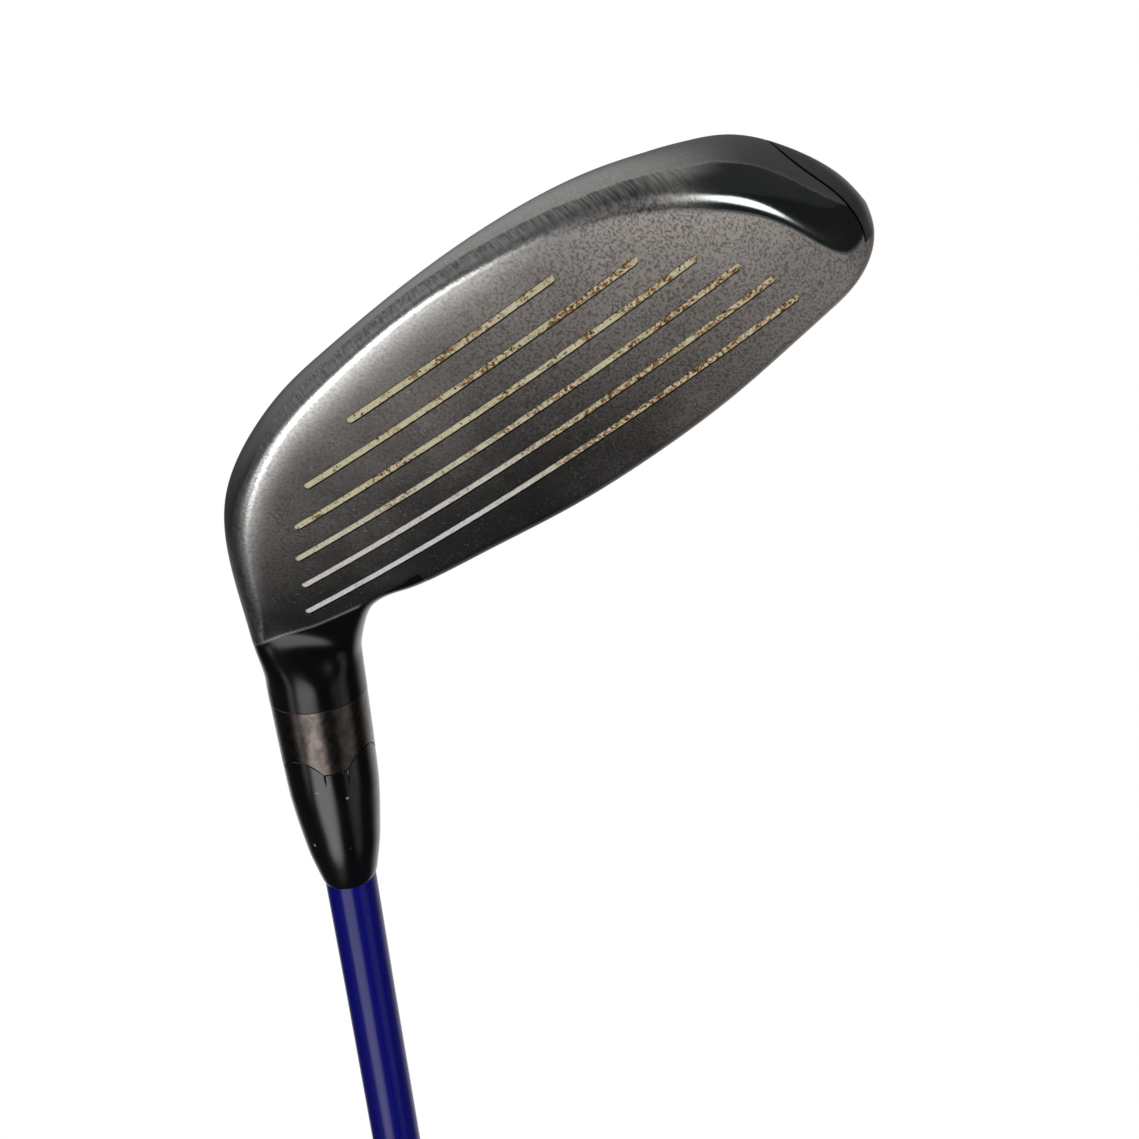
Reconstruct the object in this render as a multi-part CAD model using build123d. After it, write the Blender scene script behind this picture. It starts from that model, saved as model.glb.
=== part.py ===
from build123d import *
import math
import os

import numpy as np

# Adjustable hybrid golf club, right-handed, set at address. Millimetres.
# Origin: where the shaft axis meets the ground. +X heel to toe, +Y towards the target, +Z up.
# The shapes are drawn about a datum under the heel of the face, and the finished pieces are moved
# by the distance from there to the foot of the shaft axis.

# ---------------------------------------------------------------- driving dimensions
LIE_DEG = 59.5
LOFT_DEG = 21.5
CLUB_LENGTH = 1003.0          # along the shaft axis, ground to the end of the grip
FACE_CENTRE = (24.4, 9.03, 20.65)
FACE_BULGE_R = 295.7          # heel-to-toe radius of the face
FACE_ROLL_R = 266.6           # crown-to-sole radius of the face
GROOVE_PITCH = 4.53
GROOVE_WIDTH = 1.15
GROOVE_DEPTH = 0.45
GROOVE_ENDS = ((11.4, 43.9), (-0.1, 53.4), (-6.1, 59.4), (-10.1, 63.4), (-13.1, 66.4), (-16.6, 67.9))

HOSEL_R = 8.03
HOSEL_TOP = 50.78             # distances "t" below are measured up the shaft axis
TUBE_START = 45.95            # above this the hosel is a plain round tube
BORE_R = 5.75
BORE_FLOOR = 24.5
WEB_FLOOR = 21.0
SCREW_PORT_R = 5.0
WALL = 2.2                    # sole and rear wall of the casting
FACE_WALL = 2.6
TUBE_WALL = 1.9               # wall of the hosel tube inside the head

RUNNING_GAP = 0.05            # radial clearance of every moving fit
RING_TOP = 62.75
FERRULE_TOP = 88.37

SHAFT_TIP_R = 4.52
SHAFT_BUTT_R = 7.6
SHAFT_WALL = 1.1
SHAFT_START = 40.0
SHAFT_END = 999.0
SHAFT_TAPER = (115.0, 900.0)  # the shaft widens between these two distances
GRIP_START = 735.0

# ---------------------------------------------------------------- the shaft axis
LIE = math.radians(LIE_DEG)
LOFT = math.radians(LOFT_DEG)
AXIS = Vector(-math.cos(LIE), 0, math.sin(LIE))
AXIS_FOOT = Vector(-3.08, -6.86, 0)   # from the datum to where the shaft axis meets the ground


def on_axis(t):
    """Plane square to the shaft axis at distance t, its X pointing to the toe side."""
    return Plane(origin=AXIS_FOOT + AXIS * t, x_dir=Vector(math.sin(LIE), 0, math.cos(LIE)), z_dir=AXIS)


def turned(stations):
    """Solid of revolution about the shaft axis through (t, radius) pairs, capped at both ends."""
    outline = [(0, stations[0][0])]
    outline += [(r, t) for t, r in stations]
    outline += [(0, stations[-1][0])]
    profile = Plane(origin=AXIS_FOOT, x_dir=on_axis(0).x_dir, z_dir=-on_axis(0).y_dir)
    face = make_face(Polyline(*outline, close=True))
    return revolve(profile * face, Axis(AXIS_FOOT, AXIS), 360)


def tube(outer, inner):
    return turned(outer) - turned(inner)


def cylinder_on_axis(t0, t1, radius):
    return turned([(t0, radius), (t1, radius)])


# ---------------------------------------------------------------- outer shape of the head
def face_y(x, z):
    """Height of the bulged and rolled face surface above the XZ plane."""
    cx, cy, cz = FACE_CENTRE
    y = cy
    for _ in range(4):
        v = -(y - cy) * math.sin(LOFT) + (z - cz) * math.cos(LOFT)
        sag = (x - cx) ** 2 / (2 * FACE_BULGE_R) + v * v / (2 * FACE_ROLL_R)
        y = cy - ((z - cz) * math.sin(LOFT) + sag) / math.cos(LOFT)
    return y


# Each heel section is a plane that fans round from the hosel to the body. The row holds: foot x and
# z on the sole side, top x and z on the crown side, height of the leading-edge roll, trailing edge
# y, and how far the shape has gone from a round tube (0) to the head (1).
HEEL_SECTIONS = (
    (-33.31, 35.52, -19.46, 43.67, 2.0, -14.9, 0.0),
    (-31.53, 31.40, -17.97, 41.62, 2.8, -15.3, 0.22),
    (-28.82, 27.24, -15.63, 39.54, 4.0, -16.8, 0.80),
    (-25.36, 22.24, -12.68, 37.36, 5.2, -19.0, 1.0),
    (-20.50, 15.55, -9.05, 35.38, 6.1, -22.5, 1.0),
    (-12.35, 8.00, -4.55, 35.20, 6.2, -27.5, 1.0),
)
# Each body section is a plane of constant x: x, sole z, crown-edge z, height of the leading-edge
# roll, trailing edge y, and how far the front stands behind the face surface.
BODY_SECTIONS = (
    (0.0, 2.95, 36.3, 5.3, -31.5, 0.0),
    (13.0, 0.9, 37.4, 4.3, -39.5, 0.0),
    (27.0, 0.1, 38.5, 3.8, -44.5, 0.0),
    (42.0, 0.25, 38.45, 4.9, -45.5, 0.0),
    (54.0, 1.9, 37.5, 6.4, -43.0, 0.0),
    (64.0, 4.9, 35.9, 9.4, -38.0, 0.0),
    (71.0, 7.9, 34.7, 14.0, -32.3, 0.0),
    (75.5, 11.9, 33.6, 17.0, -28.0, 0.4),
    (78.7, 16.4, 32.0, 13.0, -24.5, 2.2),
    (81.0, 21.0, 30.0, 7.0, -20.5, 5.6),
    (82.2, 25.2, 28.4, 2.4, -16.5, 10.2),
)
REAR_HEIGHT = 0.38            # trailing edge, as a share of the section's height
TOP_ROLL = 1.8                # radius where the face meets the crown


def bezier(p0, d0, p1, d1, count):
    """Points of a cubic from p0 along d0 to p1 arriving along d1, without its last point."""
    a, b = np.array(p0, float), np.array(p1, float)
    c0 = a + np.array(d0, float)
    c1 = b - np.array(d1, float)
    s = np.linspace(0, 1, count, endpoint=False)[:, None]
    return (1 - s) ** 3 * a + 3 * s * (1 - s) ** 2 * c0 + 3 * s * s * (1 - s) * c1 + s ** 3 * b


# points on the face, leading-edge roll, sole, rear edge, crown and top roll, and the angles at
# which a round section changes from one of these to the next
SEGMENT_COUNTS = (8, 7, 9, 6, 10, 4)
ROUND_ANGLES = (62, -35, -72, -148, -208, -276, -298)
ROLL_SHARE = 0.9              # most of the section's height that the leading-edge roll may take
ROLL_HANDLE = 0.55            # tangent lengths, as shares of the curve they shape
SOLE_FLATNESS = 0.35
SOLE_SWEEP = 0.45
SOLE_RISE = 0.6
CROWN_SWEEP = (0.28, 0.62)
CROWN_FLATNESS = 0.42
REAR_ROUND_R = 3.2
REAR_ROUND_SHARE = 0.12
REAR_BULGE = 0.8


def round_outline(radius):
    """A circle's points at the same stations as head_outline."""
    angles = []
    for a, b, count in zip(ROUND_ANGLES, ROUND_ANGLES[1:], SEGMENT_COUNTS):
        angles += list(np.linspace(a, b, count, endpoint=False))
    a = np.radians(angles)
    return np.stack([radius * np.cos(a), radius + radius * np.sin(a)], axis=1)


def head_outline(front, height, roll, rear, inset):
    """Section of the head as (y, h) points; front(h) gives the face's y at height h."""
    bottom = inset
    top = height - inset
    roll = min(roll, ROLL_SHARE * (top - bottom) - TOP_ROLL)
    rear = rear + inset
    thick = FACE_WALL if inset else 0
    tip = front(top) - thick
    top_front = (front(top - TOP_ROLL) - thick, top - TOP_ROLL)
    slope = (front(bottom + roll) - front(top - TOP_ROLL)) / (top - TOP_ROLL - bottom - roll)
    edge = (front(bottom + roll) - thick, bottom + roll)
    depth = edge[0] - rear
    toe_back = min(1.5 + 0.65 * roll, 0.3 * depth)
    sole_front = (edge[0] - toe_back, bottom + 0.04 * roll)
    rear_h = bottom + REAR_HEIGHT * (top - bottom)
    round_r = min(REAR_ROUND_R, REAR_ROUND_SHARE * (top - bottom))
    sole_rear = (rear + REAR_BULGE * round_r, rear_h - round_r)
    crown_rear = (rear + REAR_BULGE * round_r, rear_h + round_r)
    crown_front = (tip - 1.5 * TOP_ROLL, top)
    run = crown_front[0] - crown_rear[0]
    rise = top - crown_rear[1]
    sole_run = sole_front[0] - sole_rear[0]
    down = np.array((slope, -1.0))
    parts = (
        bezier(top_front, (slope * 0.1, -0.1), edge, (slope * 0.1, -0.1), SEGMENT_COUNTS[0]),
        bezier(edge, down * ROLL_HANDLE * roll, sole_front, (-0.5 * toe_back, -0.02 * roll),
               SEGMENT_COUNTS[1]),
        bezier(sole_front, (-SOLE_FLATNESS * sole_run, -0.05 * roll), sole_rear,
               (-SOLE_SWEEP * sole_run, SOLE_RISE * (sole_rear[1] - bottom)), SEGMENT_COUNTS[2]),
        bezier(sole_rear, (-REAR_BULGE * round_r, 0.5 * round_r), crown_rear,
               (0.6 * round_r, REAR_BULGE * round_r), SEGMENT_COUNTS[3]),
        bezier(crown_rear, (CROWN_SWEEP[0] * run, CROWN_SWEEP[1] * rise), crown_front,
               (CROWN_FLATNESS * run, 0.02 * run), SEGMENT_COUNTS[4]),
        bezier(crown_front, (TOP_ROLL, 0), top_front, down * 0.6 * TOP_ROLL, SEGMENT_COUNTS[5]),
    )
    outline = np.concatenate(parts)
    # the straight face segment is bent onto the face surface
    for i in range(SEGMENT_COUNTS[0]):
        s = i / SEGMENT_COUNTS[0]
        h = top_front[1] + (edge[1] - top_front[1]) * s
        outline[i] = (front(h) - thick, h)
    return outline


def heel_section(row, inset=0.0):
    foot_x, foot_z, top_x, top_z, roll, rear, weight = row
    foot = np.array((foot_x, foot_z))
    run = np.array((top_x, top_z)) - foot
    height = math.hypot(*run)
    up = run / height

    def front(h):
        x, z = foot + up * h
        return face_y(x, z)

    flat = head_outline(front, height, roll, rear, inset)
    ring = round_outline(height / 2) + np.array((AXIS_FOOT.Y, 0))
    flat = weight * flat + (1 - weight) * ring
    return [(foot[0] + up[0] * h, y, foot[1] + up[1] * h) for y, h in flat]


def tube_section(t):
    """Round section of the hosel tube at distance t along the shaft axis."""
    place = on_axis(t)
    corner = place.origin - place.x_dir * HOSEL_R
    out = place.x_dir
    return [(corner.X + out.X * h, corner.Y + y, corner.Z + out.Z * h) for y, h in round_outline(HOSEL_R)]


def body_section(row, inset=0.0):
    x, sole, crown, roll, rear, behind = row

    def front(h):
        return face_y(x, sole + h) - behind

    flat = head_outline(front, crown - sole, roll, rear, inset)
    return [(x, y, sole + h) for y, h in flat]


def loft_sections(sections):
    """Smooth loft through the sections, each closed by a front and a back spline."""
    wires = []
    for points in sections:
        ring = [Vector(*p) for p in points] + [Vector(*points[0])]
        cut = sum(SEGMENT_COUNTS[:3])
        front = Edge.make_spline(ring[:cut + 1])
        back = Edge.make_spline(ring[cut:])
        wires.append(Wire([front, back]))
    return Solid.make_loft(wires, ruled=False)


def head_outer():
    """The head's outer surface, from the end of the hosel to the toe."""
    sections = [tube_section(HOSEL_TOP), tube_section(0.5 * (HOSEL_TOP + TUBE_START))]
    sections += [heel_section(row) for row in HEEL_SECTIONS]
    sections += [body_section(row) for row in BODY_SECTIONS]
    return loft_sections(sections)


def head_cavity():
    """Hollow inside the casting, kept clear of the hosel tube that runs down to the sole."""
    sections = [heel_section(row, WALL) for row in HEEL_SECTIONS[4:]]
    sections += [body_section(row, WALL) for row in BODY_SECTIONS[:-2]]
    return loft_sections(sections) - cylinder_on_axis(-10, HOSEL_TOP, BORE_R + TUBE_WALL)


# ---------------------------------------------------------------- face insert and score lines
FACE_NORMAL = Vector(0, math.cos(LOFT), math.sin(LOFT))
FACE_PLANE = Plane(origin=FACE_CENTRE, x_dir=(1, 0, 0), z_dir=FACE_NORMAL)
BULGE_CENTRE = Vector(*FACE_CENTRE) - FACE_NORMAL * FACE_BULGE_R
INSERT_THICKNESS = 3.2
INSERT_SLEEVE_GAP = 1.2       # the insert stops this far from the hosel bore
PRISM_REACH = 14              # long enough to cross the face from either side
GROOVE_REACH = 9
# outline of the insert as (x, z), seen square to the target line
INSERT_OUTLINE = (
    (-13.5, 32.6), (4, 34.2), (24, 35.7), (44, 35.8), (60, 33.8), (69, 31.8), (72.6, 28.6),
    (69, 22.6), (62.5, 16.8), (54, 12.0), (44, 8.8), (28, 7.6), (14, 8.6), (2, 11.4), (-8, 16.6),
    (-14.5, 23), (-17, 29),
)


def face_v(z):
    """Distance up the face plane of a point at height z."""
    return (z - FACE_CENTRE[2]) / math.cos(LOFT)


def ball(depth):
    """Solid whose surface lies the given depth under the bulged face."""
    return Pos(*BULGE_CENTRE) * Sphere(FACE_BULGE_R - depth)


def face_insert_blank(outer):
    """The face plate, a slice of the head's outer shape with a rounded inner side."""
    outline = [(x - FACE_CENTRE[0], face_v(z)) for x, z in INSERT_OUTLINE]
    face = make_face(Spline(*outline, periodic=True))
    prism = extrude(FACE_PLANE * face, PRISM_REACH, both=True)
    return (outer & prism) - ball(INSERT_THICKNESS)


def score_lines():
    """Cutters for the six score lines, following the bulge of the face."""
    cutters = []
    for i, (x0, x1) in enumerate(GROOVE_ENDS):
        v = (i - 2.5) * GROOVE_PITCH
        slot = SlotOverall(x1 - x0, GROOVE_WIDTH)
        place = Pos((x0 + x1) / 2 - FACE_CENTRE[0], v, 0)
        cutter = extrude(FACE_PLANE * place * slot, GROOVE_REACH, both=True)
        cutters.append(cutter - ball(GROOVE_DEPTH))
    return Compound(children=[solid for cutter in cutters for solid in cutter.solids()])


# ---------------------------------------------------------------- crown plate and toe panel
CROWN_THICKNESS = 1.2
CROWN_SEAT = 0.6              # depth to which the opening under the crown plate is cleared
CROWN_BASE = 14               # the crown lies above this height
CROWN_REACH = 40
# outlines of the plate and of the opening under it as (x, y), seen from above
CROWN_OUTLINE = (
    (-2, -7), (12, -5.5), (30, -5), (48, -5.5), (63, -7.5), (73, -11), (76.5, -17), (72, -26),
    (62, -34), (48, -39), (34, -40), (20, -37.5), (8, -31), (-2, -22.5), (-6, -14),
)
CROWN_OPENING = (
    (4, -11), (18, -9.5), (32, -9), (48, -9.5), (60, -11.5), (69, -16), (67, -24),
    (58, -31), (46, -35), (34, -35.5), (22, -33), (11, -27), (3, -19),
)


def plan_prism(outline):
    """Everything above the sole inside an outline seen from above."""
    face = make_face(Spline(*outline, periodic=True))
    return Pos(0, 0, CROWN_BASE) * extrude(face, CROWN_REACH)


def crown_plate_blank(outer):
    """Thin plate that closes the top of the head."""
    skin = outer - Pos(0, 0, -CROWN_THICKNESS) * outer
    return biggest(skin & plan_prism(CROWN_OUTLINE))


TOE_PANEL_THICKNESS = 1.1
TOE_PANEL_SEAM = ((74.4, 6), (74.7, 12), (76.3, 17.4), (78.2, 22), (79.0, 26.5), (78.6, 29.4))
TOE_PANEL_GAP = 0.3
TOE_PANEL_FRONT = 2           # the panel lies behind this y
TOE_PANEL_DEPTH = 24
TOE_LIMIT = 90                # beyond the end of the head


def toe_region(shift):
    """Everything beyond the seam that crosses the toe, moved towards the toe by shift."""
    seam = [(x + shift, z) for x, z in TOE_PANEL_SEAM]
    edge = Spline(*seam)
    rest = Polyline(seam[-1], (TOE_LIMIT, seam[-1][1]), (TOE_LIMIT, seam[0][1]), seam[0])
    face = make_face(Curve() + [edge, rest])
    back = Plane(origin=(0, TOE_PANEL_FRONT, 0), x_dir=(1, 0, 0), z_dir=(0, -1, 0))
    return extrude(back * face, TOE_PANEL_DEPTH)


def toe_skin(outer):
    """Thin outer layer of the head's toe and sole."""
    return outer - Pos(-TOE_PANEL_THICKNESS, 0, 0.5 * TOE_PANEL_THICKNESS) * outer


def biggest(shape):
    return max(shape.solids(), key=lambda solid: solid.volume)


# ---------------------------------------------------------------- sole weight near the toe
WEIGHT_AT = (62.5, -14.0)
WEIGHT_AXIS = Vector(0.36, -0.10, -0.93).normalized()   # out of the sole
WEIGHT_HEAD_R = 5.6
WEIGHT_SHANK_R = 3.0
WEIGHT_SHANK_H = 4.4
WEIGHT_HEAD_PROUD = 0.1       # how far the screw's head stands out of the boss
WEIGHT_EDGE_R = 0.5
BOSS_R = 7.9
BOSS_PROUD = 0.9
BOSS_ROOT = 9.5               # how deep the boss reaches into the head
BOSS_EDGE_R = 0.7
PORT_DEPTH = 3.4
PORT_GAP = 0.2                # radial clearance around the screw's head
BUSH_R = WEIGHT_SHANK_R + 1.2
BUSH_DEPTH = 5.2
BUSH_BORE_DEPTH = 4.9         # a blind bore, so the bush has a floor
WASHER_H = 0.5
FACE_GAP = 0.02               # left between faces that slide apart
SOCKET_R = 2.3                # across the six lobes of the driver sockets


def weight_plane(outer):
    """Plane on the sole at the weight, its Z out of the sole."""
    start = Vector(WEIGHT_AT[0], WEIGHT_AT[1], 12)
    ray = Edge.make_line(start, start + WEIGHT_AXIS * 25)
    inside = (ray & outer).edges()[0]
    foot = max((inside @ 0, inside @ 1), key=lambda p: (p - start).length)
    across = (1, 0, -WEIGHT_AXIS.X / WEIGHT_AXIS.Z)
    return Plane(origin=foot, x_dir=across, z_dir=WEIGHT_AXIS)


def disc(plane, h0, h1, radius):
    """Cylinder on a plane's normal from height h0 to h1."""
    return plane * Pos(0, 0, (h0 + h1) / 2) * Cylinder(radius, h1 - h0)


def round_top_edge(solid, plane, radius):
    """Rounds the circular edge furthest out along a plane's normal."""
    rim = solid.edges().filter_by(GeomType.CIRCLE).sort_by(Axis(plane.origin, plane.z_dir))[-1]
    return fillet(rim, radius)


def weight_boss(plane):
    return round_top_edge(disc(plane, -BOSS_ROOT, BOSS_PROUD, BOSS_R), plane, BOSS_EDGE_R)


def weight_port(plane):
    """Hole in the boss for the screw's head, with a narrower one for the bush."""
    floor = -PORT_DEPTH
    hole = disc(plane, floor, BOSS_PROUD + 1, WEIGHT_HEAD_R + PORT_GAP)
    return hole + disc(plane, floor - BUSH_DEPTH, floor + 0.1, BUSH_R)


def weight_bush(plane):
    floor = -PORT_DEPTH
    bore = disc(plane, floor - BUSH_BORE_DEPTH, floor, WEIGHT_SHANK_R + RUNNING_GAP)
    return disc(plane, floor - BUSH_DEPTH, floor, BUSH_R) - bore


def weight_washer(plane):
    floor = FACE_GAP - PORT_DEPTH
    bore = disc(plane, floor - 1, floor + 1, WEIGHT_SHANK_R + RUNNING_GAP)
    return disc(plane, floor, floor + WASHER_H, WEIGHT_HEAD_R) - bore


def weight_screw(plane):
    under = FACE_GAP - PORT_DEPTH + WASHER_H + FACE_GAP
    top = BOSS_PROUD + WEIGHT_HEAD_PROUD
    screw = disc(plane, under, top, WEIGHT_HEAD_R)
    screw += disc(plane, under - WEIGHT_SHANK_H, under + 0.1, WEIGHT_SHANK_R)
    screw = round_top_edge(screw, plane, WEIGHT_EDGE_R)
    return screw - star_socket(plane, top, SOCKET_R, 2.6)


def star_socket(plane, top, radius, depth):
    """Six-lobed driver socket sunk below a plane at height top."""
    middle = top - depth / 2
    reach = 0.82 * radius
    socket = disc(plane, top - depth - 0.1, top + 0.1, 0.72 * radius)
    for k in range(6):
        a = math.radians(60 * k)
        place = Pos(reach * math.cos(a), reach * math.sin(a), middle)
        socket += plane * place * Cylinder(0.28 * radius, depth + 0.2)
    return socket


# ---------------------------------------------------------------- hosel screw and its seat
SCREW_SHANK_R = 2.5
SCREW_HEAD_R = 4.1
SCREW_HEAD_BOTTOM = 15.6
SCREW_TIP = 37.2
SCREW_HEAD_GAP = 0.03         # under the screw's head and over its washer
SCREW_WASHER_R = 4.6
SCREW_WASHER_H = 0.8
CLIP_R = 4.4
CLIP_H = 1.2
CLIP_GAP = 0.05
SLEEVE_TIP = 26.6


def hosel_screw():
    head_top = WEB_FLOOR - SCREW_WASHER_H - 2 * SCREW_HEAD_GAP
    chamfer = 0.5
    lead = 0.6
    screw = turned([
        (SCREW_HEAD_BOTTOM, SCREW_HEAD_R - chamfer), (SCREW_HEAD_BOTTOM + chamfer, SCREW_HEAD_R),
        (head_top, SCREW_HEAD_R), (head_top, SCREW_SHANK_R),
        (SCREW_TIP - lead, SCREW_SHANK_R), (SCREW_TIP, SCREW_SHANK_R - lead),
    ])
    below = Plane(origin=on_axis(SCREW_HEAD_BOTTOM).origin, x_dir=on_axis(0).x_dir, z_dir=AXIS * -1)
    return screw - star_socket(below, 0, SOCKET_R, 2.8)


def hosel_screw_washer():
    top = WEB_FLOOR - SCREW_HEAD_GAP
    bore = cylinder_on_axis(top - 1, top + 1, SCREW_SHANK_R + RUNNING_GAP)
    return cylinder_on_axis(top - SCREW_WASHER_H, top, SCREW_WASHER_R) - bore


def screw_retainer():
    """Clip on the shank above the web, so that the screw stays in the head."""
    low = BORE_FLOOR + CLIP_GAP
    return cylinder_on_axis(low, low + CLIP_H, CLIP_R) - cylinder_on_axis(low - 1, low + 2, SCREW_SHANK_R)


# ---------------------------------------------------------------- sleeve, ring and ferrule
SLEEVE_R = BORE_R - RUNNING_GAP
SLEEVE_TOP = 68.2
SLEEVE_THREAD_TOP = 38.5
ORING_T = (46.3, 47.3)
ORING_DEPTH = 0.6
ORING_SIDE_GAP = 0.1
RING_BOTTOM = HOSEL_TOP + 0.03
RING_END_R = 7.83
LUG_DEPTH = 1.4
LUG_WIDTH = 2.0
LUG_THICKNESS = 1.4
LUG_AT_R = 6.9
LUG_GAP = 0.05
LUG_REACH_R = 7.55            # the keys are rounded off at this radius
SCALLOP_R = 4.41              # waves along the ring's upper edge
SCALLOP_AT = RING_TOP + 2.0
SCALLOP_GAP = 0.06
SCALLOP_START_DEG = 20
SCALLOP_MIDDLE_R = 6.9
SCALLOP_LENGTH = 5.2
FERRULE_STATIONS = ((69.05, 7.66), (73.25, 7.3), (77.45, 6.82), (81.65, 6.25), (84.8, 5.62), (86.9, 5.15))
FERRULE_BOTTOM_R = 7.81
FERRULE_TOP_R = 4.78


def groove_core():
    """What is left inside the O-ring and its groove."""
    return cylinder_on_axis(ORING_T[0] - 1, ORING_T[1] + 1, SLEEVE_R - ORING_DEPTH)


def adapter_sleeve():
    chamfer = 0.5
    outline = [(SLEEVE_TIP, SLEEVE_R - chamfer), (SLEEVE_TIP + chamfer, SLEEVE_R), (SLEEVE_TOP, SLEEVE_R)]
    thread = cylinder_on_axis(SLEEVE_TIP - 1, SLEEVE_THREAD_TOP, SCREW_SHANK_R + RUNNING_GAP)
    socket = cylinder_on_axis(SHAFT_START, SLEEVE_TOP + 1, SHAFT_TIP_R)
    ring = cylinder_on_axis(ORING_T[0] - ORING_SIDE_GAP, ORING_T[1] + ORING_SIDE_GAP, SLEEVE_R + 1)
    return turned(outline) - thread - socket - (ring - groove_core())


def sleeve_oring():
    return cylinder_on_axis(ORING_T[0], ORING_T[1], SLEEVE_R) - groove_core()


def around_axis(solid, count, start):
    """Copies of a solid, evenly spaced around the shaft axis."""
    axis = Axis(AXIS_FOOT, AXIS)
    result = solid.rotate(axis, start)
    for k in range(1, count):
        result += solid.rotate(axis, start + 360 * k / count)
    return result


def lugs(width, depth):
    """Four keys that lock the ring to the top of the hosel."""
    key = on_axis(HOSEL_TOP) * Pos(LUG_AT_R, 0, -depth / 2 + 0.5) * Box(LUG_THICKNESS, width, depth + 1)
    return around_axis(key, 4, 45)


def scallops(radius):
    """Four cylinders square to the axis that give the ring its wavy upper edge."""
    across = Pos(SCALLOP_MIDDLE_R, 0, 0) * Rot(0, 90, 0)
    wave = on_axis(SCALLOP_AT) * across * Cylinder(radius, SCALLOP_LENGTH)
    return around_axis(wave, 4, SCALLOP_START_DEG)


def adjuster_ring():
    outside = turned([(RING_BOTTOM, HOSEL_R - 0.03), (RING_TOP, RING_END_R)])
    bore = cylinder_on_axis(HOSEL_TOP - 1, RING_TOP + 1, BORE_R)
    key_room = cylinder_on_axis(HOSEL_TOP - LUG_DEPTH, RING_BOTTOM + 0.4, LUG_REACH_R)
    keys = lugs(LUG_WIDTH, LUG_DEPTH) & key_room
    return (outside - bore) + keys - scallops(SCALLOP_R)


def ferrule():
    bottom = RING_TOP + 0.04
    body = turned([(bottom, FERRULE_BOTTOM_R), *FERRULE_STATIONS, (FERRULE_TOP, FERRULE_TOP_R)])
    skirt = cylinder_on_axis(RING_TOP - 6, bottom + 0.3, FERRULE_BOTTOM_R)
    waves = scallops(SCALLOP_R - SCALLOP_GAP) & skirt
    sleeve_bore = cylinder_on_axis(RING_TOP - 8, SLEEVE_TOP, SLEEVE_R)
    shaft_bore = cylinder_on_axis(RING_TOP - 10, FERRULE_TOP + 1, SHAFT_TIP_R)
    return body + waves - (sleeve_bore + shaft_bore)


# ---------------------------------------------------------------- shaft and grip
TAPE = 0.3
TAPE_INSET = 4                # the tape stops this far inside the grip's mouth
CAP_R = 9.5
GRIP_STATIONS = (
    (GRIP_START, 8.2), (GRIP_START + 1, 9.0), (GRIP_START + 4, 9.5), (860, 11.0), (975, 12.9),
    (985, 13.3), (998, 13.3), (CLUB_LENGTH - 1.2, 12.6), (CLUB_LENGTH, 11.2),
)
PLUG_LENGTH = 8


def shaft_r(t):
    start, end = SHAFT_TAPER
    share = (t - start) / (end - start)
    return SHAFT_TIP_R + (SHAFT_BUTT_R - SHAFT_TIP_R) * min(max(share, 0), 1)


def shaft():
    outer = [(t, shaft_r(t)) for t in (SHAFT_START, *SHAFT_TAPER, SHAFT_END)]
    inner = [(t, shaft_r(t) - SHAFT_WALL) for t in (SHAFT_START - 1, *SHAFT_TAPER, SHAFT_END + 1)]
    return tube(outer, inner)


def tip_plug():
    return cylinder_on_axis(SHAFT_START, SHAFT_START + PLUG_LENGTH, SHAFT_TIP_R - SHAFT_WALL)


def taped_stations():
    stations = (GRIP_START + TAPE_INSET, SHAFT_TAPER[1], SHAFT_END)
    return [(t, shaft_r(t) + TAPE) for t in stations]


def grip_tape():
    return tube(taped_stations(), [(t, r - TAPE) for t, r in taped_stations()])


def grip():
    mouth_t = GRIP_START + TAPE_INSET
    mouth = cylinder_on_axis(GRIP_START - 1, mouth_t, shaft_r(mouth_t))
    cap_seat = cylinder_on_axis(SHAFT_END - 0.1, CLUB_LENGTH + 1, CAP_R)
    return turned(GRIP_STATIONS) - mouth - turned(taped_stations()) - cap_seat


def grip_end_cap():
    return cylinder_on_axis(SHAFT_END, CLUB_LENGTH, CAP_R)


# ---------------------------------------------------------------- the head, taken apart
REAR_WEIGHT_AT = (38, -40, 6)
REAR_WEIGHT_SIZE = (34, 11, 16)


def rear_weight(cavity):
    """Cast-in mass that fills the low rear corner of the cavity."""
    return biggest(cavity & (Pos(*REAR_WEIGHT_AT) * Box(*REAR_WEIGHT_SIZE)))


def head_parts():
    """The head's outer shape divided into its casting and the pieces set into it."""
    outer = head_outer()
    cavity = head_cavity()
    port = weight_plane(outer)
    insert = face_insert_blank(outer) - cylinder_on_axis(0, RING_TOP, BORE_R + INSERT_SLEEVE_GAP)
    insert = biggest(insert)
    crown = crown_plate_blank(outer)
    skin = toe_skin(outer)
    panel = biggest(skin & toe_region(TOE_PANEL_GAP))
    grooves = score_lines()

    body = outer - cavity
    body = body + weight_boss(port)
    body = body - insert - crown - (skin & toe_region(0))
    body = body - (plan_prism(CROWN_OPENING) & crown_opening_depth(outer))
    body = body - weight_port(port)
    body = body - cylinder_on_axis(-12, WEB_FLOOR, SCREW_PORT_R)
    body = body - cylinder_on_axis(WEB_FLOOR - 1, BORE_FLOOR + 1, SCREW_SHANK_R + 0.3)
    body = body - cylinder_on_axis(BORE_FLOOR, HOSEL_TOP + 5, BORE_R)
    body = body - lugs(LUG_WIDTH + 2 * LUG_GAP, LUG_DEPTH + LUG_GAP)
    return {
        "body_casting": biggest(body - grooves),
        "face_insert": biggest(insert - grooves),
        "crown_plate": crown,
        "toe_panel": panel,
        "rear_weight": rear_weight(cavity),
        "weight_bush": weight_bush(port),
        "weight_washer": weight_washer(port),
        "weight_screw": weight_screw(port),
    }


def crown_opening_depth(outer):
    """The head's shape, lowered so that the opening stops short of the crown surface."""
    return outer & Pos(0, 0, -CROWN_SEAT) * outer


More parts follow.
